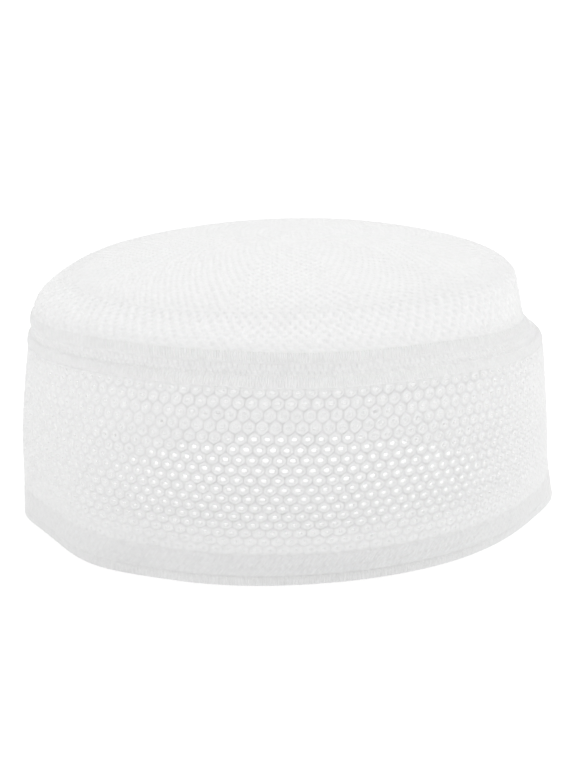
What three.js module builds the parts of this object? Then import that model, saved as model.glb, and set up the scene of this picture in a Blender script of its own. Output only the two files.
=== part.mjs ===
// A kufi: a brimless cap knitted in one piece, in white yarn, standing on its rim.
// From the rim up, the one fabric runs through a ribbed hem, a net side, two ribbed courses
// with a sunken channel between them, a short tier and a shallow domed crown that closes at
// a puckered centre. Its plan is an oval, as a head's is. It is soft, so its oval, shoulder
// and crown wander a little round the cap, and upright creases are left from folding.
// Millimetres, +Z up. X runs along the oval, and the origin is the middle of the rim's plane.
import * as THREE from "three";

// Sizes over the outside of the cap
const CAP_LENGTH = 190; // along X, at the rim
const CAP_WIDTH = 157; // along Y, at the rim
const SIDE_HEIGHT = 64.5; // rim to the top of the net side
const EDGE_HEIGHT = 86; // rim to the crown's edge
const CROWN_HEIGHT = 97.5; // rim to the middle of the crown
const CROWN_LENGTH = 164; // across the crown's edge, along X
const CROWN_WIDTH = 134; // across the crown's edge, along Y

// Thickness of the fabric
const HEM_WALL = 2.6;
const NET_WALL = 2;
const BAND_WALL = 2.4;
const CROWN_WALL = 1.8;

// The hem, knitted round the foot of the cap
const HEM_EDGE_HEIGHT = 4.5; // the ribbed edge that the cap stands on
const HEM_HEIGHT = 11.5; // rim to the foot of the net
const HEM_GROOVE = 0.5; // depth of the line between the ribbed edge and the rest of the hem
const RIM_ROUND = 0.7; // rounding of the rim's two corners

// The band above the net: two ribbed courses with a sunken channel between them
const LOWER_RIB = 3.2;
const CHANNEL = 4.2;
const UPPER_RIB = 3.8;
const RIB_PROUD = 0.4; // how far the ribbed courses stand out
const CHANNEL_DEPTH = 0.9;
const RIDGE_DEPTH = 0.3; // the ridges and furrows knitted inside the channel
const RIDGES = 2;

// The drawn-in centre of the crown
const PUCKER_DEPTH = 1.2;
const PUCKER_RADIUS = 5;

// How fine the surface is
const COLUMNS = 72; // round the cap
const NET_ROWS = 12; // up the net side
const CROWN_ROWS = 15; // from the band to the middle of the crown
const TO_THE_CENTRE = 1.25; // how much finer the crown's rows get towards its middle
const INNER_ROWS = 20; // from the crown back down to the rim, inside
const WHITE = "#f1f1f1";

// How the cap's plan wanders, in shares of its ovals. rim, waist, shoulder and heel are
// shares of the rim's oval at the rim, halfway up the net, at the net's top and at the top
// of the band. edge is the share of the crown's oval at the crown's edge.
const PLAN = [
  { bearing: 0, rim: 0.985, waist: 0.975, shoulder: 0.94, heel: 0.875, edge: 0.945 },
  { bearing: 30, rim: 0.985, waist: 0.985, shoulder: 0.96, heel: 0.885, edge: 0.965 },
  { bearing: 60, rim: 0.99, waist: 0.99, shoulder: 0.965, heel: 0.915, edge: 0.98 },
  { bearing: 90, rim: 0.99, waist: 0.99, shoulder: 0.97, heel: 0.93, edge: 0.98 },
  { bearing: 120, rim: 0.98, waist: 0.985, shoulder: 0.97, heel: 0.94, edge: 0.97 },
  { bearing: 150, rim: 0.97, waist: 0.985, shoulder: 0.975, heel: 0.955, edge: 0.965 },
  { bearing: 180, rim: 0.965, waist: 0.975, shoulder: 0.965, heel: 0.95, edge: 0.95 },
  { bearing: 210, rim: 0.965, waist: 0.97, shoulder: 0.945, heel: 0.93, edge: 0.925 },
  { bearing: 240, rim: 1.015, waist: 1.02, shoulder: 0.955, heel: 0.92, edge: 0.91 },
  { bearing: 270, rim: 1.0, waist: 1.02, shoulder: 0.96, heel: 0.915, edge: 0.91 },
  { bearing: 300, rim: 0.975, waist: 0.99, shoulder: 0.955, heel: 0.9, edge: 0.93 },
  { bearing: 330, rim: 0.95, waist: 0.965, shoulder: 0.94, heel: 0.875, edge: 0.945 },
];

// How its heights wander. lift and brow are the heights of the net's top and of the crown's
// edge, in shares of SIDE_HEIGHT and EDGE_HEIGHT. fold is how far the middle of the band is
// drawn in, in shares of the reach there. full is how far the tier bulges out past a
// straight slope, as a share of its own step inwards.
const HEIGHTS = [
  { bearing: 0, lift: 0.94, brow: 1.02, fold: 0, full: 0.1 },
  { bearing: 30, lift: 0.975, brow: 1.04, fold: 0.005, full: 0.1 },
  { bearing: 60, lift: 0.99, brow: 1.06, fold: 0.01, full: 0.1 },
  { bearing: 90, lift: 1.0, brow: 1.06, fold: 0.015, full: 0.1 },
  { bearing: 120, lift: 0.99, brow: 1.045, fold: 0.01, full: 0.1 },
  { bearing: 150, lift: 0.975, brow: 1.02, fold: 0, full: 0.2 },
  { bearing: 180, lift: 0.97, brow: 0.975, fold: 0, full: 0.25 },
  { bearing: 210, lift: 1.0, brow: 0.955, fold: 0.005, full: 0.2 },
  { bearing: 240, lift: 1.01, brow: 0.945, fold: 0.02, full: 0.1 },
  { bearing: 270, lift: 1.0, brow: 0.945, fold: 0.025, full: 0.1 },
  { bearing: 300, lift: 1.0, brow: 0.97, fold: 0.01, full: 0.1 },
  { bearing: 330, lift: 0.96, brow: 1.0, fold: 0, full: 0.1 },
];

// The upright creases, one at each end and a soft one to the left of the front: how far each
// stands out at each level, in shares of the oval's reach, and how wide it is in degrees.
const CREASES = [
  { bearing: 354, spread: 11, rim: 0.04, waist: 0.01, shoulder: 0.01, heel: 0, edge: 0 },
  { bearing: 178, spread: 10, rim: 0.045, waist: 0.03, shoulder: 0.005, heel: 0, edge: 0 },
  { bearing: 214, spread: 13, rim: 0.045, waist: 0.02, shoulder: 0, heel: 0, edge: 0 },
];

// Soft dents in the crown. across and span are shares of the edge's reach, and depth is a
// share of CROWN_HEIGHT, less than nothing for a bulge.
const CROWN_DENTS = [
  { name: "right of the front", bearing: 318, spread: 24, across: 0.62, span: 0.22, depth: 0.02 },
  { name: "front bulge", bearing: 268, spread: 22, across: 0.85, span: 0.16, depth: -0.012 },
  { name: "left hollow", bearing: 205, spread: 30, across: 0.62, span: 0.24, depth: 0.015 },
];

// Stations between the named levels: up is the share of the height there, and way how far
// the reach has gone from one level's to the next.
const RIM_TO_WAIST = { up: 0.25, way: 0.68 };
const WAIST_UP = 0.5;
const WAIST_TO_SHOULDER = { up: 0.75, way: 0.42 };
const HEEL_TO_EDGE = { up: 0.55, way: 0.5 };

// Stations of the crown from its edge inwards: across is the share of the edge's reach, and
// rise the share of the way from the edge's height up to the middle's.
const CROWN_STATIONS = [
  { across: 0.8, rise: 0.42 },
  { across: 0.55, rise: 0.72 },
  { across: 0.3, rise: 0.92 },
];

const radians = THREE.MathUtils.degToRad;
const lerp = THREE.MathUtils.lerp;
const BAND_HEIGHT = LOWER_RIB + CHANNEL + UPPER_RIB;

// A smooth value between the rows of a table whose bearings are equally spaced.
function roundTheCap(table, column, bearing) {
  const rows = table.length;
  const place = (((bearing % 360) + 360) % 360) / (360 / rows);
  const row = Math.floor(place);
  const t = place - row;
  const value = (k) => table[(row + k + rows) % rows][column];
  const slopeIn = (value(1) - value(-1)) / 2;
  const slopeOut = (value(2) - value(0)) / 2;
  const rise = value(1) - value(0);
  const bend = 3 * rise - 2 * slopeIn - slopeOut;
  return value(0) + t * (slopeIn + t * (bend + t * (slopeIn + slopeOut - 2 * rise)));
}

// The angle from one bearing to another, between -180 and 180 degrees.
function turnBetween(from, to) {
  return ((((to - from) % 360) + 540) % 360) - 180;
}

function bump(distance, spread) {
  return Math.exp(-((distance / spread) ** 2));
}

// How far the fabric reaches from the middle at a level, in an oval that wanders.
function levelReach(level, bearing) {
  const [length, width] =
    level === "edge" ? [CROWN_LENGTH, CROWN_WIDTH] : [CAP_LENGTH, CAP_WIDTH];
  const angle = radians(bearing);
  const across = Math.hypot((width / 2) * Math.cos(angle), (length / 2) * Math.sin(angle));
  const oval = ((length / 2) * (width / 2)) / across;
  const creased = CREASES.reduce(
    (sum, crease) => sum + crease[level] * bump(turnBetween(bearing, crease.bearing), crease.spread),
    0,
  );
  return oval * (roundTheCap(PLAN, level, bearing) + creased);
}

// The sections of a meridian, in the order that the surface crosses them. Each counts as so
// many steps of the curve's parameter, so that a place is a section and a share of it.
const SECTIONS = { side: [0, 4], band: [4, 6], tier: [6, 8], crown: [8, 12] };
const LAST_PLACE = SECTIONS.crown[1];

function placeOf(section, share) {
  const [start, end] = SECTIONS[section];
  return lerp(start, end, share);
}

function crownDent(bearing, across) {
  return CROWN_DENTS.reduce((sum, dent) => {
    const round = bump(turnBetween(bearing, dent.bearing), dent.spread);
    return sum + dent.depth * round * bump(across - dent.across, dent.span);
  }, 0);
}

// The meridian at a bearing: a smooth curve of (reach, height) from the rim to the centre.
function meridian(bearing) {
  const [rim, waist, shoulder, heel, edge] = ["rim", "waist", "shoulder", "heel", "edge"].map(
    (level) => levelReach(level, bearing),
  );
  const sideUp = SIDE_HEIGHT * roundTheCap(HEIGHTS, "lift", bearing);
  const edgeUp = EDGE_HEIGHT * roundTheCap(HEIGHTS, "brow", bearing);
  const fold = roundTheCap(HEIGHTS, "fold", bearing);
  const full = roundTheCap(HEIGHTS, "full", bearing);
  const bandIn = Math.min(Math.abs(shoulder - heel), BAND_HEIGHT);
  const heelUp = sideUp + Math.sqrt(BAND_HEIGHT ** 2 - bandIn ** 2);
  const points = [
    [rim, 0],
    [lerp(rim, waist, RIM_TO_WAIST.way), sideUp * RIM_TO_WAIST.up],
    [waist, sideUp * WAIST_UP],
    [lerp(waist, shoulder, WAIST_TO_SHOULDER.way), sideUp * WAIST_TO_SHOULDER.up],
    [shoulder, sideUp],
    [((shoulder + heel) / 2) * (1 - fold), (sideUp + heelUp) / 2],
    [heel, heelUp],
    [lerp(heel, edge, HEEL_TO_EDGE.way - full), lerp(heelUp, edgeUp, HEEL_TO_EDGE.up)],
    [edge, edgeUp],
    ...CROWN_STATIONS.map(({ across, rise }) => [
      edge * across,
      lerp(edgeUp, CROWN_HEIGHT, rise) - CROWN_HEIGHT * crownDent(bearing, across),
    ]),
    [0, CROWN_HEIGHT],
  ];
  return new THREE.SplineCurve(points.map(([reach, height]) => new THREE.Vector2(reach, height)));
}

// The surface's point and outward normal at a bearing and a place on its meridian.
const SMALL_TURN = 1;
const SMALL_STEP = 0.02;
const meridians = new Map();
function surface(bearing, place) {
  const at = (turn, along) => {
    const key = (bearing + turn + 360) % 360;
    if (!meridians.has(key)) meridians.set(key, meridian(key));
    const share = THREE.MathUtils.clamp(along / LAST_PLACE, 0, 1);
    const { x: reach, y: height } = meridians.get(key).getPoint(share);
    const drawnIn = PUCKER_DEPTH * bump(reach, PUCKER_RADIUS);
    const angle = radians(key);
    return new THREE.Vector3(reach * Math.cos(angle), reach * Math.sin(angle), height - drawnIn);
  };
  const round = at(SMALL_TURN, place).sub(at(-SMALL_TURN, place));
  const along = at(0, place + SMALL_STEP).sub(at(0, place - SMALL_STEP));
  return { point: at(0, place), normal: round.cross(along).normalize() };
}

// The outer stations of the hem: heights up the side, and how proud of it they stand.
function hemStations() {
  const up = (height) => placeOf("side", height / SIDE_HEIGHT);
  return [
    { place: up(RIM_ROUND), proud: 0 },
    { place: up(HEM_EDGE_HEIGHT * 0.4), proud: RIB_PROUD / 2 },
    { place: up(HEM_EDGE_HEIGHT * 0.85), proud: RIB_PROUD / 2 },
    { place: up(HEM_EDGE_HEIGHT), proud: -HEM_GROOVE },
    { place: up(HEM_EDGE_HEIGHT * 1.15), proud: 0 },
    { place: up(HEM_HEIGHT), proud: 0 },
  ];
}

function netStations() {
  return Array.from({ length: NET_ROWS - 1 }, (_, k) => {
    const height = lerp(HEM_HEIGHT, SIDE_HEIGHT, (k + 1) / NET_ROWS);
    return { place: placeOf("side", height / SIDE_HEIGHT), proud: 0 };
  });
}

// The band's stations: the two ribbed courses, and the channel's ridges and furrows.
function bandStations() {
  const up = (height) => placeOf("band", height / BAND_HEIGHT);
  const channelHead = LOWER_RIB + CHANNEL;
  const stations = [
    { place: up(0), proud: 0 },
    { place: up(LOWER_RIB * 0.2), proud: RIB_PROUD },
    { place: up(LOWER_RIB * 0.9), proud: RIB_PROUD },
    { place: up(LOWER_RIB * 1.15), proud: -CHANNEL_DEPTH },
  ];
  for (let ridge = 0; ridge < RIDGES; ridge += 1) {
    const ridgeUp = (share) => up(LOWER_RIB + (CHANNEL * (ridge + share)) / RIDGES);
    stations.push({ place: ridgeUp(0.5), proud: -CHANNEL_DEPTH + RIDGE_DEPTH });
    stations.push({ place: ridgeUp(0.9), proud: -CHANNEL_DEPTH - RIDGE_DEPTH });
  }
  stations.push({ place: up(channelHead + UPPER_RIB * 0.3), proud: RIB_PROUD });
  stations.push({ place: up(channelHead + UPPER_RIB), proud: RIB_PROUD });
  return stations;
}

function crownStations() {
  return Array.from({ length: CROWN_ROWS - 1 }, (_, k) => ({
    place: lerp(LAST_PLACE, SECTIONS.tier[0], (1 - (k + 1) / CROWN_ROWS) ** TO_THE_CENTRE),
    proud: 0,
  }));
}

// The fabric's thickness at a place on the meridian.
function wallAt(place) {
  const rows = [
    { place: 0, wall: HEM_WALL },
    { place: placeOf("side", HEM_HEIGHT / SIDE_HEIGHT), wall: HEM_WALL },
    { place: placeOf("side", 0.3), wall: NET_WALL },
    { place: placeOf("side", 0.9), wall: NET_WALL },
    { place: placeOf("band", 0), wall: BAND_WALL },
    { place: placeOf("tier", 0), wall: BAND_WALL },
    { place: placeOf("crown", 0), wall: CROWN_WALL },
    { place: LAST_PLACE, wall: CROWN_WALL },
  ];
  const after = Math.max(1, rows.findIndex((row) => row.place >= place));
  const from = rows[after - 1];
  const to = rows[after];
  return lerp(from.wall, to.wall, (place - from.place) / (to.place - from.place));
}

// The shell's rings of points, from the outer rim over the crown and back down inside.
function shellRings() {
  const bearings = Array.from({ length: COLUMNS }, (_, k) => (360 / COLUMNS) * k);
  const rimRing = (inset, height) =>
    bearings.map((bearing) => {
      const { point } = surface(bearing, 0);
      return point.setLength(point.length() - inset).setZ(height);
    });
  const ring = (place, proud) =>
    bearings.map((bearing) => {
      const { point, normal } = surface(bearing, place);
      return point.addScaledVector(normal, proud);
    });
  const outer = [
    rimRing(RIM_ROUND, 0),
    ...[...hemStations(), ...netStations(), ...bandStations(), ...crownStations()].map(
      ({ place, proud }) => ring(place, proud),
    ),
  ];
  const inner = [
    ...Array.from({ length: INNER_ROWS - 1 }, (_, k) => {
      const place = lerp(LAST_PLACE, 0, (k + 1) / INNER_ROWS);
      return ring(place, -wallAt(place));
    }),
    rimRing(HEM_WALL, RIM_ROUND),
    rimRing(HEM_WALL - RIM_ROUND, 0),
  ];
  return { outer, inner };
}

// One closed body: the rings joined by faces, with a point at the crown's centre on each side.
function shellGeometry() {
  const { outer, inner } = shellRings();
  const rings = [...outer, ...inner];
  const centre = new THREE.Vector3(0, 0, CROWN_HEIGHT - PUCKER_DEPTH);
  const innerCentre = new THREE.Vector3(0, 0, centre.z - CROWN_WALL);
  const points = [...rings.flat(), centre, innerCentre];

  const index = (row, column) => row * COLUMNS + (column % COLUMNS);
  const [centreIndex, innerCentreIndex] = [points.length - 2, points.length - 1];
  const faces = [];
  for (let column = 0; column < COLUMNS; column += 1) {
    for (let row = 0; row < rings.length; row += 1) {
      if (row === outer.length - 1) continue;
      const next = (row + 1) % rings.length;
      const [a, b] = [index(row, column), index(row, column + 1)];
      const [c, d] = [index(next, column + 1), index(next, column)];
      faces.push(a, b, c, a, c, d);
    }
    const [last, first] = [outer.length - 1, outer.length];
    faces.push(index(last, column), index(last, column + 1), centreIndex);
    faces.push(index(first, column + 1), index(first, column), innerCentreIndex);
  }

  const geometry = new THREE.BufferGeometry().setFromPoints(points);
  geometry.setIndex(faces);

  // The origin is under the middle of the cap's box.
  geometry.computeBoundingBox();
  const middle = geometry.boundingBox.getCenter(new THREE.Vector3());
  geometry.translate(-middle.x, -middle.y, 0);
  geometry.computeVertexNormals();
  return geometry;
}

const knit = new THREE.MeshStandardMaterial({ color: WHITE, roughness: 0.85, metalness: 0 });
const knittedCap = new THREE.Mesh(shellGeometry(), knit);
knittedCap.name = "knitted_cap";

const kufi = new THREE.Group();
kufi.add(knittedCap);

export default kufi;
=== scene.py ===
import math

import bpy
import numpy as np
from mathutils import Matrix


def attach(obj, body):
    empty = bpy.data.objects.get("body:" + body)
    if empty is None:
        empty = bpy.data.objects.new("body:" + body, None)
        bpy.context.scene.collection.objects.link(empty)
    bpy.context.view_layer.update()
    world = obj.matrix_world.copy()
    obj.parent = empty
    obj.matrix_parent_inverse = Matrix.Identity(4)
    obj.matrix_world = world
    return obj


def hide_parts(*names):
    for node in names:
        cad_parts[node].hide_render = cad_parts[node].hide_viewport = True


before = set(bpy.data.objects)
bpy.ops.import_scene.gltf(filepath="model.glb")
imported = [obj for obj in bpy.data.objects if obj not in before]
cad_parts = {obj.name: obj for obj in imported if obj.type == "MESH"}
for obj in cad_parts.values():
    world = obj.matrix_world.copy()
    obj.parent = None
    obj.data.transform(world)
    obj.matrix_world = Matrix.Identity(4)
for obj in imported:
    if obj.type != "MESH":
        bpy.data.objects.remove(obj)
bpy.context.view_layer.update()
NODE = "knitted_cap"
MM = 0.001
rng = np.random.default_rng(7)

# The solid's sizes
CAP_LENGTH, CAP_WIDTH = 190, 157
SIDE_HEIGHT, EDGE_HEIGHT, CROWN_HEIGHT = 64.5, 86, 97.5
CROWN_LENGTH, CROWN_WIDTH = 164, 134
HEM_HEIGHT = 11.5
LOWER_RIBS_HEIGHT, CHANNEL_HEIGHT, UPPER_RIBS_HEIGHT = 3.2, 4.2, 3.8
BAND_HEIGHT = LOWER_RIBS_HEIGHT + CHANNEL_HEIGHT + UPPER_RIBS_HEIGHT
PUCKER_DEPTH, PUCKER_RADIUS = 1.2, 5
HEM_WALL, NET_WALL, BAND_WALL, CROWN_WALL = 2.6, 2.0, 2.4, 1.8

# The solid's tables. Round the cap: a bearing, then shares of the named reaches and heights.
ROUND_COLUMNS = "bearing rim waist shoulder heel edge lift brow fold full".split()
ROUND = np.array([
    (0, .985, .975, .94, .875, .945, .94, 1.02, 0, .1),
    (30, .985, .985, .96, .885, .965, .975, 1.04, .005, .1),
    (60, .99, .99, .965, .915, .98, .99, 1.06, .01, .1),
    (90, .99, .99, .97, .93, .98, 1.0, 1.06, .015, .1),
    (120, .98, .985, .97, .94, .97, .99, 1.045, .01, .1),
    (150, .97, .985, .975, .955, .965, .975, 1.02, 0, .2),
    (180, .965, .975, .965, .95, .95, .97, .975, 0, .25),
    (210, .965, .97, .945, .93, .925, 1.0, .955, .005, .2),
    (240, 1.015, 1.02, .955, .92, .91, 1.01, .945, .02, .1),
    (270, 1.0, 1.02, .96, .915, .91, 1.0, .945, .025, .1),
    (300, .975, .99, .955, .9, .93, 1.0, .97, .01, .1),
    (330, .95, .965, .94, .875, .945, .96, 1.0, 0, .1),
])
# bearing, spread, then how far it stands out at the rim, waist and shoulder
CREASES = [(354, 11, .04, .01, .01), (178, 10, .045, .03, .005), (214, 13, .045, .02, 0)]
CREASED_LEVELS = ("rim", "waist", "shoulder")
# bearing, spread, across, span, depth
CROWN_DENTS = [(318, 24, .62, .22, .02), (268, 22, .85, .16, -.012), (205, 30, .62, .24, .015)]
# across the crown, as a share of its edge's reach, and share of its rise
CROWN_STATIONS = [(.8, .42), (.55, .72), (.3, .92)]

# Places on a meridian: the rim is 0, then the net's and band's tops and the crown's middle
NET_TOP, BAND_TOP, LAST_PLACE = 4, 6, 12
HEM_TOP = NET_TOP * HEM_HEIGHT / SIDE_HEIGHT


def lerp(a, b, t):
    return a + (b - a) * t


def smooth(t):
    t = np.clip(t, 0, 1)
    return t * t * (3 - 2 * t)


def within(value, low, high, ease):
    """1 between two values and 0 outside them, eased over so much at each."""
    return smooth((value - low) / ease) * smooth((high - value) / ease)


def round_the_cap(column, bearing):
    """A column of the table round the cap, eased between its rows."""
    values = ROUND[:, ROUND_COLUMNS.index(column)]
    rows = len(values)
    place = (bearing % 360) / (360 / rows)
    row = np.floor(place).astype(int)
    t = place - row
    v0, v1, v2, v3 = (values[(row + k) % rows] for k in (-1, 0, 1, 2))
    slope_in, slope_out, rise = (v2 - v0) / 2, (v3 - v1) / 2, v2 - v1
    bend = 3 * rise - 2 * slope_in - slope_out
    return v1 + t * (slope_in + t * (bend + t * (slope_in + slope_out - 2 * rise)))


def turn_between(start, end):
    return ((end - start) % 360 + 540) % 360 - 180


def bump(distance, spread):
    return np.exp(-((distance / spread) ** 2))


def level_reach(level, bearing):
    """How far a level's oval reaches from the cap's axis."""
    length, width = (CROWN_LENGTH, CROWN_WIDTH) if level == "edge" else (CAP_LENGTH, CAP_WIDTH)
    angle = np.radians(bearing)
    across = np.hypot(width / 2 * np.cos(angle), length / 2 * np.sin(angle))
    share = round_the_cap(level, bearing)
    if level in CREASED_LEVELS:
        for at, spread, *stands_out in CREASES:
            share = share + stands_out[CREASED_LEVELS.index(level)] * bump(
                turn_between(bearing, at), spread)
    return length / 2 * width / 2 / across * share


def meridian_points(bearing):
    """The points of each bearing's meridian: place, then reach or height, then bearing."""
    rim, waist, shoulder, heel, edge = (
        level_reach(level, bearing) for level in ("rim", "waist", "shoulder", "heel", "edge"))
    side_up = SIDE_HEIGHT * round_the_cap("lift", bearing)
    edge_up = EDGE_HEIGHT * round_the_cap("brow", bearing)
    band_in = np.minimum(np.abs(shoulder - heel), BAND_HEIGHT)
    heel_up = side_up + np.sqrt(BAND_HEIGHT ** 2 - band_in ** 2)
    points = [
        (rim, 0 * rim),
        (lerp(rim, waist, .68), side_up * .25),
        (waist, side_up * .5),
        (lerp(waist, shoulder, .42), side_up * .75),
        (shoulder, side_up),
        ((shoulder + heel) / 2 * (1 - round_the_cap("fold", bearing)), (side_up + heel_up) / 2),
        (heel, heel_up),
        (lerp(heel, edge, .5 - round_the_cap("full", bearing)), lerp(heel_up, edge_up, .55)),
        (edge, edge_up),
    ]
    for across, rise in CROWN_STATIONS:
        dent = sum(
            depth * bump(turn_between(bearing, at), spread) * bump(across - middle, span)
            for at, spread, middle, span, depth in CROWN_DENTS)
        points.append((edge * across, lerp(edge_up, CROWN_HEIGHT, rise) - CROWN_HEIGHT * dent))
    points.append((0 * rim, CROWN_HEIGHT + 0 * rim))
    return np.array(points)


# The meridians are worked out once, every quarter of a degree, and read between.
FINE = 1440
MERIDIANS = meridian_points(np.arange(FINE) * 360 / FINE)


def reach_and_height(bearing, place):
    at = (bearing % 360) * FINE / 360
    left = np.floor(at).astype(int)
    t = at - left
    place = np.clip(place, 0, LAST_PLACE)
    section = np.minimum(np.floor(place).astype(int), LAST_PLACE - 1)
    w = place - section
    result = []
    for axis in (0, 1):
        p = [lerp(MERIDIANS[np.clip(section + k, 0, LAST_PLACE), axis, left % FINE],
                  MERIDIANS[np.clip(section + k, 0, LAST_PLACE), axis, (left + 1) % FINE], t)
             for k in (-1, 0, 1, 2)]
        v0, v1 = (p[2] - p[0]) / 2, (p[3] - p[1]) / 2
        result.append((2 * p[1] - 2 * p[2] + v0 + v1) * w ** 3
                      + (-3 * p[1] + 3 * p[2] - 2 * v0 - v1) * w ** 2 + v0 * w + p[1])
    return result


def base_point(bearing, place):
    """The smooth surface, with the pucker in the crown's middle."""
    reach, height = reach_and_height(bearing, place)
    angle = np.radians(bearing)
    height = height - PUCKER_DEPTH * bump(reach, PUCKER_RADIUS)
    return np.stack([reach * np.cos(angle), reach * np.sin(angle), height], axis=-1)


SHIFT = np.zeros(3)  # set below, from the first surface


def surface(bearing, place, proud):
    """Points that stand so far out of the cap's surface."""
    bearing, place, proud = np.broadcast_arrays(bearing, place, proud)
    around = base_point(bearing + 1, place) - base_point(bearing - 1, place)
    along = base_point(bearing, place + .02) - base_point(bearing, place - .02)
    normal = np.cross(around, along)
    size = np.linalg.norm(normal, axis=-1, keepdims=True)
    normal = np.where(size > 1e-9, normal / np.maximum(size, 1e-9), (0, 0, 1))
    return base_point(bearing, place) + normal * proud[..., None] - SHIFT


# The solid's box is centred on the origin, so its oval is shifted by its middle.
_bearings = np.arange(0, 360, 5)[None, :]
_cloud = surface(_bearings, np.linspace(0, LAST_PLACE, 121)[:, None], 0).reshape(-1, 3)
SHIFT = np.array([*(_cloud.max(0) + _cloud.min(0))[:2] / 2, 0])

# Bearings at equal numbers of stitches along the waist. The knit is stretched most in front.
LEAST_STRETCH, STRETCH, STRETCH_MIDDLE, STRETCH_SPREAD = .96, .1, 275, 50
WAIST_PLACE = 2.0
_turns = np.linspace(0, 360, FINE + 1)
_waist = base_point(_turns, np.full(FINE + 1, WAIST_PLACE))
_stretch = LEAST_STRETCH + STRETCH * bump(turn_between(_turns[:-1], STRETCH_MIDDLE), STRETCH_SPREAD)
_steps_on = np.linalg.norm(np.diff(_waist, axis=0), axis=1) / _stretch
_way = np.concatenate([[0], np.cumsum(_steps_on)])
PERIMETER = _way[-1]


def bearing_at(share):
    whole = np.floor(share)
    return np.interp((share - whole) * PERIMETER, _way, _turns) + 360 * whole


# Arc length along the meridians: to each place, and the place after each length
SECTIONS = 600
LENGTH_STEP, LONGEST = .5, 200
_places = np.linspace(0, LAST_PLACE, SECTIONS + 1)
_grid = np.arange(0, 360, 2.5)
_lines = base_point(_grid[:, None] + 0 * _places, _places + 0 * _grid[:, None])
_lengths = np.concatenate(
    [np.zeros((len(_grid), 1)), np.cumsum(np.linalg.norm(np.diff(_lines, axis=1), axis=2), axis=1)],
    axis=1)
_lengths_on = np.arange(0, LONGEST, LENGTH_STEP)
_inverse = np.array([np.interp(_lengths_on, row, _places) for row in _lengths])


def between(table, bearing, index):
    """Reads a table of bearing by index between its cells."""
    row = (bearing % 360) / 360 * len(table)
    r0 = np.floor(row).astype(int)
    c0 = np.clip(np.floor(index).astype(int), 0, table.shape[1] - 2)
    t, w = row - r0, index - c0
    a, b = r0 % len(table), (r0 + 1) % len(table)
    return lerp(lerp(table[a, c0], table[a, c0 + 1], w), lerp(table[b, c0], table[b, c0 + 1], w), t)


def length_to(bearing, place):
    bearing, place = np.broadcast_arrays(bearing, place)
    return between(_lengths, bearing, place / LAST_PLACE * SECTIONS)


def place_after(bearing, start, way):
    """The place so many millimetres along the surface past a place."""
    bearing, start, way = np.broadcast_arrays(bearing, start, way)
    return between(_inverse, bearing, (length_to(bearing, start) + way) / LENGTH_STEP)


# Meshes

def make_piece(name, points, faces, materials, which=None):
    """which gives each face's number among the materials."""
    mesh = bpy.data.meshes.new(name)
    points = points * MM
    points[:, 2] = np.maximum(points[:, 2], 0)  # nothing dips into the table
    count, corners = faces.shape
    mesh.vertices.add(len(points))
    mesh.vertices.foreach_set("co", points.ravel())
    mesh.loops.add(count * corners)
    mesh.loops.foreach_set("vertex_index", faces.ravel().astype(np.int32))
    mesh.polygons.add(count)
    mesh.polygons.foreach_set("loop_start", np.arange(count, dtype=np.int32) * corners)
    mesh.update(calc_edges=True)
    mesh.polygons.foreach_set("use_smooth", np.ones(len(mesh.polygons), dtype=bool))
    for material in materials:
        mesh.materials.append(material)
    if which is not None:
        mesh.polygons.foreach_set("material_index", which.astype(np.int32))
    mesh.validate()
    obj = bpy.data.objects.new(name, mesh)
    bpy.context.scene.collection.objects.link(obj)
    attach(obj, "root")
    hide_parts(NODE)


def ring_faces(starts, counts, closed):
    """Triangles that join rings of points. A ring may have a fraction of its neighbour's points."""
    faces = []
    pairs = list(zip(range(len(starts)), range(1, len(starts))))
    if closed:
        pairs.append((len(starts) - 1, 0))
    for i, j in pairs:
        a, b, n, m = starts[i], starts[j], counts[i], counts[j]
        if n >= m:
            k = np.arange(n)
            coarse = (k * m) // n
            faces.append(np.stack([a + k, a + (k + 1) % n, b + coarse], axis=1))
            last = np.arange(1, m + 1) * n // m - 1
            c = np.arange(m)
            faces.append(np.stack([a + (last + 1) % n, b + (c + 1) % m, b + c], axis=1))
        else:
            k = np.arange(m)
            coarse = (k * n) // m
            faces.append(np.stack([b + (k + 1) % m, b + k, a + coarse], axis=1))
            last = np.arange(1, n + 1) * m // n - 1
            c = np.arange(n)
            faces.append(np.stack([a + c, a + (c + 1) % n, b + (last + 1) % m], axis=1))
    return np.concatenate(faces)


def rings_piece(name, rings, material, closed=True):
    """closed joins the last ring to the first."""
    counts = [len(ring) for ring in rings]
    starts = np.concatenate([[0], np.cumsum(counts)[:-1]])
    faces = ring_faces(starts, counts, closed)
    make_piece(name, np.concatenate(rings), faces, [material])


# Knitting patterns. Shares go round the cap, and heights are millimetres up the surface.
CELLS = 132  # holes round the net


def ribs(share, count, depth, every_second):
    """Upright ribs, with every second one a little stronger."""
    turn = 2 * np.pi * count * share
    return depth * (np.cos(turn) + every_second * np.cos(turn / 2))


def pits(across, along):
    """Staggered pits, from 0 between them to 1 in their middles. One row is one unit along."""
    return np.clip(np.cos(np.pi * across) * np.cos(np.pi * along), 0, 1) ** 1.5


def slants(share, height, depth, count, pitch, lean):
    """Rows of slanted stitches, each row shifted by half a stitch."""
    row = np.floor(height / pitch)
    along = height / pitch - row
    phase = count * share - lean * along + .5 * (row % 2)
    crest = np.sin(np.pi * along) ** .5
    return depth * crest * np.cos(2 * np.pi * phase) + depth * (crest - .6)


# Materials. Scales are per metre, and the fuzz is the fibres' height in metres.
FIBRE_SCALE, MOTTLE_SCALE = 1400, 500
MOTTLE_FROM, MOTTLE_TO, MOTTLE_SHADE = .35, .6, .97
FUZZ_STRENGTH, FUZZ = .18, .00012


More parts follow.
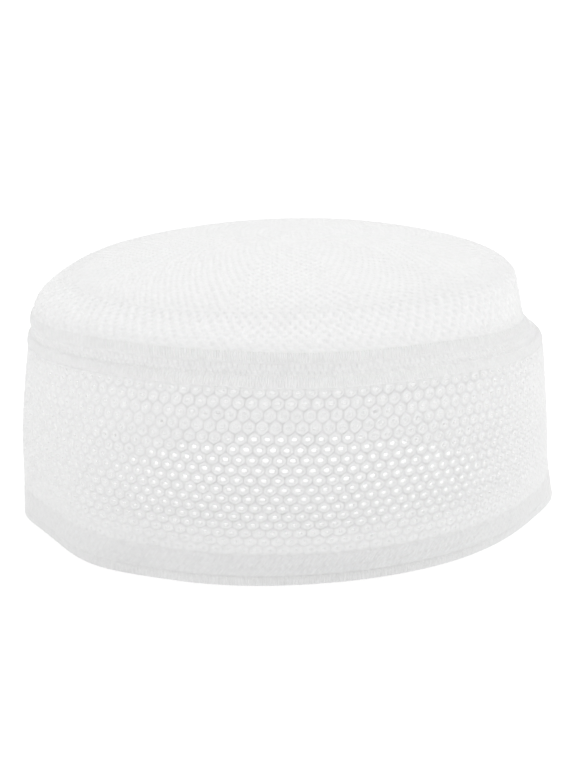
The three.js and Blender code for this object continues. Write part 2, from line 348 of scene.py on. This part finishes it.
def yarn(name, white, let_through, painted_glow=0):
    """let_through is the share of light that shines through the yarn. The glow is painted light: an
    emission that stands in for the light soaked through the loops around."""
    material = bpy.data.materials.new(name)
    material.use_nodes = True
    nodes, links = material.node_tree.nodes, material.node_tree.links
    shader = nodes["Principled BSDF"]
    shader.inputs["Roughness"].default_value = .88
    shader.inputs["Specular IOR Level"].default_value = .25
    shader.inputs["Sheen Weight"].default_value = .25
    shader.inputs["Sheen Roughness"].default_value = .5
    shader.inputs["Subsurface Weight"].default_value = 0
    # Painted glow: the yarn gives off light of its own
    shader.inputs["Emission Color"].default_value = (1, 1, 1, 1)
    shader.inputs["Emission Strength"].default_value = painted_glow
    coords = nodes.new("ShaderNodeTexCoord")

    def noise(scale, detail):
        texture = nodes.new("ShaderNodeTexNoise")
        texture.inputs["Scale"].default_value = scale
        texture.inputs["Detail"].default_value = detail
        links.new(coords.outputs["Object"], texture.inputs["Vector"])
        return texture.outputs["Fac"]

    mottle = nodes.new("ShaderNodeMapRange")
    mottle.inputs["From Min"].default_value = MOTTLE_FROM
    mottle.inputs["From Max"].default_value = MOTTLE_TO
    links.new(noise(MOTTLE_SCALE, 2), mottle.inputs["Value"])
    colour = nodes.new("ShaderNodeMixRGB")
    colour.inputs["Color1"].default_value = (*[white * MOTTLE_SHADE] * 3, 1)
    colour.inputs["Color2"].default_value = (*[white] * 3, 1)
    links.new(mottle.outputs["Result"], colour.inputs["Fac"])
    links.new(colour.outputs["Color"], shader.inputs["Base Color"])
    relief = nodes.new("ShaderNodeBump")
    relief.inputs["Strength"].default_value = FUZZ_STRENGTH
    relief.inputs["Distance"].default_value = FUZZ
    links.new(noise(FIBRE_SCALE, 4), relief.inputs["Height"])
    links.new(relief.outputs["Normal"], shader.inputs["Normal"])
    glow = nodes.new("ShaderNodeBsdfTranslucent")
    links.new(colour.outputs["Color"], glow.inputs["Color"])
    links.new(relief.outputs["Normal"], glow.inputs["Normal"])
    blend = nodes.new("ShaderNodeMixShader")
    blend.inputs["Fac"].default_value = let_through
    links.new(shader.outputs["BSDF"], blend.inputs[1])
    links.new(glow.outputs["BSDF"], blend.inputs[2])
    links.new(blend.outputs["Shader"], nodes["Material Output"].inputs["Surface"])
    return material


# The zones' whites are painted light and shade on one white yarn: the crown and tier lightest, the net
# and hem darkest, to the tones each zone shows as it is lit
net_yarn = yarn("net yarn", .93, .25)
# The net's tunnels and inside glow with painted light, for the light that comes through from the cap's
# inside
inner_yarn = yarn("inner yarn", .94, .3, painted_glow=.15)
band_yarn = yarn("band yarn", .965, .35)
hem_yarn = yarn("hem yarn", .93, .35)
tier_yarn = yarn("tier yarn", .97, .3)
crown_yarn = yarn("crown yarn", .975, .25)

# The side net: staggered cells, each a raised ring round a short tunnel, with furrows between

NET_ROWS = 17
LOWEST_PITCH, PITCH_GROWTH = .84, .32  # the rows grow taller up the net
NET_PARTS = 2
SHOULDER, APEX = .303, .697  # a cell's upright corners and points, in rows
CELL_CORNERS = [(0, -APEX), (.25, -.5), (.5, -SHOULDER), (.5, 0), (.5, SHOULDER), (.25, .5),
                (0, APEX), (-.25, .5), (-.5, SHOULDER), (-.5, 0), (-.5, -SHOULDER), (-.25, -.5)]
SIDES = len(CELL_CORNERS)
CELL_WIDTH = PERIMETER / CELLS
FURROW_DEPTH, JUNCTION_DEPTH, EDGE_DEPTH = .42, .75, .05
# Hole diameters: rows from the lowest, then millimetres
HOLE_DIAMETERS = (0, 1, 2, 3, 5, 9, 11, 13, 16), (.1, .4, .8, 1.1, 1.35, 1.5, 1.5, 1.4, 1.4)
HOLE_WIDER, HOLE_LOWER = 1.2, .8  # a hole's half sizes, against its diameter
HOLE_SIZES_VARY, HOLES_WANDER = .05, .012
TUNNEL_TO_INSIDE = 1.1  # from a tunnel's inner end to the net's inside
# The columns of cells lean a little as they rise: rows up, then cells sideways
LEAN = (0, 5, 12, 17), (0, .5, .85, 1.25)
RING_WIDTH, RING_HEIGHT = .43, .5  # a ring's half sizes, in cells and rows
# A ring's stations: how far from its outer edge to the hole, and how proud
RING_STATIONS = [(0, .05), (.45, .25), (1, -.25)]
LOWEST_RELIEF, RELIEF_ROWS = .6, 4  # the relief is full so many rows up
OPEN_MIDDLE, OPEN_SPREAD, LEAST_OPEN = 272, 56, .5


def opened(bearing):
    """The net is stretched open most in front."""
    away = turn_between(bearing, OPEN_MIDDLE) / OPEN_SPREAD
    return lerp(LEAST_OPEN, 1, np.exp(-away ** 4))


def cell_outlines():
    """The corners of one cell of each row, in cells and rows, cut straight at both edges."""
    outline = np.zeros((NET_ROWS, SIDES, 2))
    for row in range(NET_ROWS):
        for k, (x, y) in enumerate(CELL_CORNERS):
            v = row + .5 + y
            if (row == 0 and y <= -SHOULDER) or (row == NET_ROWS - 1 and y >= SHOULDER):
                v = 0 if row == 0 else NET_ROWS
            outline[row, k] = (.5 * (row % 2) + .5 + x, v)
    return outline


def side_net():
    pitch = LOWEST_PITCH + PITCH_GROWTH * np.arange(NET_ROWS) / (NET_ROWS - 1)
    level = np.concatenate([[0], np.cumsum(pitch)]) / pitch.sum()
    row_height = (SIDE_HEIGHT - HEM_HEIGHT) * np.diff(level)
    diameter = np.interp(np.arange(NET_ROWS), *HOLE_DIAMETERS)
    relief_share = lerp(LOWEST_RELIEF, 1, smooth(np.arange(NET_ROWS) / RELIEF_ROWS))

    def place(u, v, proud):
        bearing = bearing_at((u + np.interp(v, *LEAN)) / CELLS)
        height = np.interp(v / NET_ROWS, np.arange(NET_ROWS + 1) / NET_ROWS, level)
        return surface(bearing, lerp(HEM_TOP, NET_TOP, height), proud)

    # The cells' corners, each shared by the cells that meet there
    outline = cell_outlines()
    cells = np.arange(CELLS)
    u = outline[:, None, :, 0] + cells[None, :, None]
    v = np.broadcast_to(outline[:, None, :, 1], u.shape)
    column_key = np.round(u * 4).astype(np.int64) % (4 * CELLS)
    key = column_key * 1000000 + np.round(v * 1000).astype(np.int64)
    _, first, corner = np.unique(key.ravel(), return_index=True, return_inverse=True)
    corner = corner.reshape(u.shape)
    edge_u, edge_v = u.ravel()[first], v.ravel()[first]
    count = len(first)

    # The rings and holes, a little uneven
    hole_u_size = HOLE_WIDER * diameter / 2 / CELL_WIDTH
    hole_v_size = HOLE_LOWER * diameter / 2 / row_height
    openness = opened(bearing_at((cells + .5) / CELLS))[None, :, None]
    uneven = openness * (1 + HOLE_SIZES_VARY * rng.standard_normal((NET_ROWS, CELLS, 1)))
    wander = HOLES_WANDER * rng.standard_normal((NET_ROWS, CELLS, 2))
    middle_u = (outline[:, :, 0].mean(1)[:, None] + cells)[:, :, None]
    middle_v = ((np.arange(NET_ROWS) + .5)[:, None] + 0 * cells)[:, :, None]
    angle = np.radians(np.arange(SIDES) * 360 / SIDES - 90)
    centre_u, centre_v = middle_u + wander[..., :1], middle_v + wander[..., 1:]
    hole_u = centre_u + uneven * hole_u_size[:, None, None] * np.cos(angle)
    hole_v = centre_v + uneven * hole_v_size[:, None, None] * np.sin(angle)
    rim_u, rim_v = centre_u + RING_WIDTH * np.cos(angle), centre_v + RING_HEIGHT * np.sin(angle)

    # The furrow is deepest where three rings meet, and shallow at the net's two edges
    where_three_meet = np.tile(np.arange(SIDES) % 2 == 0, NET_ROWS * CELLS)[first]
    on_edge = np.isclose(edge_v, 0) | np.isclose(edge_v, NET_ROWS)
    near = relief_share[np.clip(np.floor(edge_v), 0, NET_ROWS - 1).astype(int)]
    near = near * opened(bearing_at(edge_u / CELLS))
    furrow = np.where(where_three_meet, JUNCTION_DEPTH, FURROW_DEPTH) * near

    # Layers of points, from the furrows over the rings and through the tunnels to the inside
    layers = [place(edge_u, edge_v, np.where(on_edge, -EDGE_DEPTH, -furrow)),
              place(edge_u, edge_v, -NET_WALL)]
    relief = np.broadcast_to(relief_share[:, None, None] * openness, u.shape)
    for way, proud in RING_STATIONS:
        ring_u, ring_v = lerp(rim_u, hole_u, way), lerp(rim_v, hole_v, way)
        layers.append(place(ring_u.ravel(), ring_v.ravel(), proud * relief.ravel()))
    tunnel_end = np.full(u.size, TUNNEL_TO_INSIDE - NET_WALL)
    layers.append(place(hole_u.ravel(), hole_v.ravel(), tunnel_end))
    points = np.concatenate(layers)
    rings = [corner]
    for k in range(len(RING_STATIONS) + 1):
        rings.append(2 * count + k * u.size + np.arange(u.size).reshape(u.shape))
    rings.append(corner + count)

    for part in range(NET_PARTS):
        chosen = slice(part * CELLS // NET_PARTS, (part + 1) * CELLS // NET_PARTS)
        faces = []
        for a, b in zip(rings, rings[1:]):
            if a is rings[len(RING_STATIONS)]:
                outside = sum(len(group) for group in faces)
            a, b = a[:, chosen], b[:, chosen]
            a2, b2 = np.roll(a, -1, axis=2), np.roll(b, -1, axis=2)
            faces.append(np.stack([a, a2, b2, b], axis=-1).reshape(-1, 4))
        # Walls close the net wherever a cell has no neighbour
        a = corner[:, chosen].ravel()
        b = np.roll(corner[:, chosen], -1, axis=2).ravel()
        alone = ~np.isin(a * count + b, b * count + a)
        a, b = a[alone], b[alone]
        faces.append(np.stack([b, a, a + count, b + count], axis=-1))
        used, faces = np.unique(np.concatenate(faces), return_inverse=True)
        faces = faces.reshape(-1, 4)
        # The tunnels and the inside have the second material, which glows with painted light
        which = np.arange(len(faces)) >= outside
        make_piece(f"side_net_{part + 1}", points[used], faces, [net_yarn, inner_yarn], which)


side_net()

# The ribbed zones are grids: rows of points up the surface, with the same number round each

TUCK, TUCK_DEPTH, CLOSE = .15, .5, .04
INNER_ROWS, INNER_MARGIN, FINER_OUTSIDE = 7, .3, 8  # the smooth inside has an eighth of the points


def along_profile(profile, height):
    """A profile's value, eased between its stations."""
    heights, values = profile[:, 0], profile[:, 1]
    k = np.clip(np.searchsorted(heights, height, side="right") - 1, 0, len(heights) - 2)
    t = (height - heights[k]) / (heights[k + 1] - heights[k])
    return lerp(values[k], values[k + 1], smooth(t))


def grid_piece(name, heights, place_of, proud_of, wall, count, material):
    shares = np.arange(count) / count
    bearing = bearing_at(shares)
    inner_bearing = bearing[::FINER_OUTSIDE]

    def ring(height, proud):
        return surface(bearing, place_of(bearing, height), proud)

    low, high = heights[0], heights[-1]
    # Each edge dips under its neighbour, and a close row keeps that bend out of the shading
    rings = [ring(low - TUCK, -TUCK_DEPTH), ring(low, proud_of(shares, low))]
    for height in (low + CLOSE, *heights[1:-1], high - CLOSE, high):
        rings.append(ring(height, proud_of(shares, height)))
    rings.append(ring(high + TUCK, -TUCK_DEPTH))
    inner_heights = np.linspace(high - INNER_MARGIN, low + INNER_MARGIN, INNER_ROWS)
    for height in (high + TUCK, *inner_heights, low - TUCK):
        rings.append(surface(inner_bearing, place_of(inner_bearing, height), -wall))
    rings_piece(name, rings, material)


# The band: a ribbed course, a sunken channel with two beaded ridges, and a ribbed course

BAND_ROWS, BAND_POINTS = 25, 2880
BAND_PROFILE = np.array([
    (0, -.05), (.4, .15), (2.5, .15), (3.3, -.5), (7.2, -.5), (7.8, .08), (10.4, .08), (11.2, 0)])
BAND_RIBS, BAND_RIB_DEPTH = 576, .26
CHANNEL_LOW, FIRST_RIDGE, RIDGE_PITCH = 3.4, 4.3, 1.8


def band_place(bearing, height):
    return lerp(NET_TOP, BAND_TOP, height / BAND_HEIGHT) + 0 * bearing


def band_proud(share, height):
    base = along_profile(BAND_PROFILE, np.array(height))
    ribbed = within(height, 0, LOWER_RIBS_HEIGHT, .4) + within(height, 7.5, 11.5, .4)
    ridges = -.24 * np.cos(2 * np.pi * (height - CHANNEL_LOW) / RIDGE_PITCH)
    beads = pits(BAND_RIBS * share, (height - FIRST_RIDGE) / RIDGE_PITCH)
    channel = within(height, 3.0, 7.6, .4) * (.1 + ridges - .7 * beads)
    return base + ribbed * ribs(share, BAND_RIBS, BAND_RIB_DEPTH, .5) + channel


grid_piece("band_knit", np.linspace(0, BAND_HEIGHT, BAND_ROWS), band_place, band_proud,
           BAND_WALL, BAND_POINTS, band_yarn)

# The tier: pits in soft swells, with fine courses just above the band

TIER_WAY, TIER_ROWS, TIER_POINTS = 19, 44, 1440
TIER_PITCH = 2.35
COURSE_DEPTH, COURSE_PITCH, COURSES_END, COURSES_FADE = .12, 1.25, 7, 5
SWELL_DEPTH, TIER_PIT_DEPTH, TIER_SINK = .28, .5, .05


def tier_place(bearing, height):
    return place_after(bearing, BAND_TOP, height)


def tier_proud(share, height):
    courses = COURSE_DEPTH * np.cos(2 * np.pi * height / COURSE_PITCH)
    courses = courses * smooth((COURSES_END - height) / COURSES_FADE)
    swell = np.cos(2 * np.pi * CELLS * share) * np.cos(np.pi * height / TIER_PITCH)
    pit = pits(2 * CELLS * share, height / TIER_PITCH)
    relief = TIER_SINK + courses - SWELL_DEPTH * swell - TIER_PIT_DEPTH * pit
    return within(height, 0, TIER_WAY, .8) * relief - TIER_SINK


grid_piece("tier_knit", np.linspace(0, TIER_WAY, TIER_ROWS), tier_place, tier_proud,
           CROWN_WALL, TIER_POINTS, tier_yarn)

# The hem: a ribbed edge, a groove and a band of slanted stitches

HEM_ROWS, HEM_POINTS = 32, 2400
HEM_PROFILE = np.array([
    (0, -.7), (.5, 0), (1.2, .3), (3.8, .3), (4.5, -.5), (5.1, .15), (10.6, .2), (11.2, -.15),
    (11.5, -.1)])
HEM_RIBS, HEM_RIB_DEPTH = 480, .32
SLANTS, SLANT_DEPTH, SLANT_PITCH, SLANT_LEAN = 240, .4, 1.25, .5
TWILL_LOW, TWILL_HIGH = 4.9, 11.3
LEAST_HEM_RELIEF = .2


def hem_place(bearing, height):
    return NET_TOP * height / SIDE_HEIGHT + 0 * bearing


def hem_proud(share, height):
    base = along_profile(HEM_PROFILE, np.array(height))
    edge = within(height, .3, 4.5, .5) * ribs(share, HEM_RIBS, HEM_RIB_DEPTH, .6)
    stitches = slants(share, height - TWILL_LOW, SLANT_DEPTH, SLANTS, SLANT_PITCH, SLANT_LEAN)
    twill = within(height, TWILL_LOW, TWILL_HIGH, .5) * stitches
    # The relief is stretched flat towards the cap's ends
    away = turn_between(bearing_at(share), OPEN_MIDDLE)
    return lerp(LEAST_HEM_RELIEF, 1, bump(away, OPEN_SPREAD)) * (base + edge + twill)


grid_piece("hem_knit", np.linspace(0, HEM_HEIGHT, HEM_ROWS), hem_place, hem_proud,
           HEM_WALL, HEM_POINTS, hem_yarn)

# The crown: a fine lattice of pits in eight wedges, with its columns along each wedge's middle

WEDGES = 8
WEDGE_TURN = 260.5  # bearing of one wedge's middle
PIT_ACROSS, PIT_ALONG, PIT_DEPTH, CROWN_SINK = 1.64, 1.43, .6, .05
PITS_FADE_AT_MIDDLE, PITS_FADE_AT_EDGE = 6, .02  # in millimetres, and as a level
# How many rings, with how many points each, from the edge inward
CROWN_RINGS = [(66, 1080), (30, 540), (24, 270)]
CLOSE_LEVEL, TUCK_PLACE = .0005, .02  # the close ring's level, and how far down the tuck goes
INSIDE_RINGS, INSIDE_POINTS, LAST_INSIDE_LEVEL = 12, 120, .98


def crown_surface(count, level):
    """level runs from 0 at the tier to 1 at the middle."""
    bearing = bearing_at(np.arange(count) / count)
    start = place_after(bearing, BAND_TOP, TIER_WAY)
    whole = length_to(bearing, LAST_PLACE) - length_to(bearing, start)
    return bearing, place_after(bearing, start, whole * level), whole * (1 - level)


def crown_ring(count, level):
    bearing, place, left = crown_surface(count, level)
    wedge = np.radians((bearing - WEDGE_TURN + 180 / WEDGES) % (360 / WEDGES) - 180 / WEDGES)
    fade = smooth(left / PITS_FADE_AT_MIDDLE) * smooth(level / PITS_FADE_AT_EDGE)
    pit = pits(left * wedge / PIT_ACROSS, left / PIT_ALONG)
    return surface(bearing, place, -CROWN_SINK - PIT_DEPTH * pit * fade)


def inside_ring(level):
    bearing, place, _ = crown_surface(INSIDE_POINTS, level)
    return surface(bearing, place, -CROWN_WALL)


ring_counts = [points for rings, points in CROWN_RINGS for _ in range(rings)]
levels = np.linspace(0, 1, len(ring_counts) + 1)[:-1]
edge_bearing, edge_place, _ = crown_surface(ring_counts[0], 0)
outer_rings = [surface(edge_bearing, edge_place - TUCK_PLACE, -TUCK_DEPTH)]
outer_rings += [crown_ring(count, level) for count, level in zip(ring_counts, levels)]
outer_rings.insert(2, crown_ring(ring_counts[0], CLOSE_LEVEL))
inner_rings = [inside_ring(level) for level in np.linspace(LAST_INSIDE_LEVEL, 0, INSIDE_RINGS)]
centre = np.array([[0, 0, CROWN_HEIGHT - PUCKER_DEPTH]]) - SHIFT
all_rings = [centre - (0, 0, CROWN_WALL)] + inner_rings + outer_rings + [centre]
rings_piece("crown_knit", all_rings, crown_yarn, closed=False)

# Floor: pale and glowing, which lights the cap from below; close in front of the cap the glow is
# dimmed, painted shade for the cap's shadow on the floor

FLOOR_REACH, FLOOR_DROP = 30, .0002
FLOOR_WHITE = .12
PAINTED_SHADE_MIDDLE, PAINTED_SHADE_NEAR, PAINTED_SHADE_FAR = (-.04, -.06, 0), .06, .26
PAINTED_SHADE_GLOW, FULL_GLOW = .905, 1.17


def glowing_floor():
    material = bpy.data.materials.new("floor")
    material.use_nodes = True
    nodes, links = material.node_tree.nodes, material.node_tree.links
    shader = nodes["Principled BSDF"]
    shader.inputs["Base Color"].default_value = (*[FLOOR_WHITE] * 3, 1)
    shader.inputs["Roughness"].default_value = 1
    shader.inputs["Specular IOR Level"].default_value = 0
    shader.inputs["Emission Color"].default_value = (1, 1, 1, 1)
    # Painted shade: the glow is dimmed close in front of the cap, where the cap would shade the floor
    coords, away = nodes.new("ShaderNodeTexCoord"), nodes.new("ShaderNodeVectorMath")
    away.operation = "DISTANCE"
    away.inputs[1].default_value = PAINTED_SHADE_MIDDLE
    links.new(coords.outputs["Object"], away.inputs[0])
    bright = nodes.new("ShaderNodeMapRange")
    bright.inputs["From Min"].default_value = PAINTED_SHADE_NEAR
    bright.inputs["From Max"].default_value = PAINTED_SHADE_FAR
    bright.inputs["To Min"].default_value = PAINTED_SHADE_GLOW
    bright.inputs["To Max"].default_value = FULL_GLOW
    links.new(away.outputs["Value"], bright.inputs["Value"])
    links.new(bright.outputs["Result"], shader.inputs["Emission Strength"])
    return material


floor_mesh = bpy.data.meshes.new("floor")
floor_corners = [(x * FLOOR_REACH, y * FLOOR_REACH, 0) for x, y in ((-1, -1), (1, -1), (1, 1), (-1, 1))]
floor_mesh.from_pydata(floor_corners, [], [(0, 1, 2, 3)])
floor_mesh.materials.append(glowing_floor())
floor = bpy.data.objects.new("floor", floor_mesh)
floor.location.z = -FLOOR_DROP
bpy.context.scene.collection.objects.link(floor)

# Light: a room that is a little darker in front, behind and to the left, and lightest overhead

TO_THE_RIGHT, OVERHEAD = .65, .73
DARKEST_SIDE, LIGHTEST_SIDE = -1, .6
DARKEST, LIGHTEST = .59, .745

world = bpy.data.worlds.new("studio")
bpy.context.scene.world = world
world.use_nodes = True
background = world.node_tree.nodes["Background"]
background.inputs["Color"].default_value = (1, 1, 1, 1)
sky, join = world.node_tree.nodes, world.node_tree.links


def room(operation, first, second):
    """A sum on directions and numbers."""
    node = sky.new("ShaderNodeMath")
    node.operation = operation
    for socket, value in zip(node.inputs, (first, second)):
        if isinstance(value, (int, float)):
            socket.default_value = value
        else:
            join.new(value, socket)
    return node.outputs["Value"]


direction, split = sky.new("ShaderNodeTexCoord"), sky.new("ShaderNodeSeparateXYZ")
join.new(direction.outputs["Generated"], split.inputs["Vector"])
to_the_right = room("MULTIPLY", split.outputs["X"], TO_THE_RIGHT)
front_and_back = room("MULTIPLY", room("ABSOLUTE", split.outputs["Y"], 0), -1)
brightness = sky.new("ShaderNodeMapRange")
brightness.inputs["From Min"].default_value = DARKEST_SIDE
brightness.inputs["From Max"].default_value = LIGHTEST_SIDE
brightness.inputs["To Min"].default_value = DARKEST
brightness.inputs["To Max"].default_value = LIGHTEST
join.new(room("ADD", front_and_back, to_the_right), brightness.inputs["Value"])
upward = room("POWER", room("MAXIMUM", split.outputs["Z"], 0), 2)
overhead = room("MULTIPLY", upward, OVERHEAD)
light = room("ADD", brightness.outputs["Result"], overhead)
join.new(light, background.inputs["Strength"])

# Camera

CAMERA_PLACE = (-.09595, -.56491, .213)
CAMERA_TILT, CAMERA_TURN = 73.6, -9.5
SENSOR_WIDTH, LENS, FARTHEST = 36, 78.23, 100

camera_data = bpy.data.cameras.new("camera")
camera = bpy.data.objects.new("camera", camera_data)
camera.location = CAMERA_PLACE
camera.rotation_euler = (math.radians(CAMERA_TILT), 0, math.radians(CAMERA_TURN))
camera_data.sensor_width = SENSOR_WIDTH
camera_data.lens = LENS
camera_data.clip_end = FARTHEST
bpy.context.scene.collection.objects.link(camera)
bpy.context.scene.camera = camera
bpy.context.scene.view_settings.view_transform = "Standard"
# White yarn passes light on many times
bpy.context.scene.cycles.max_bounces = 16
bpy.context.scene.cycles.diffuse_bounces = 16
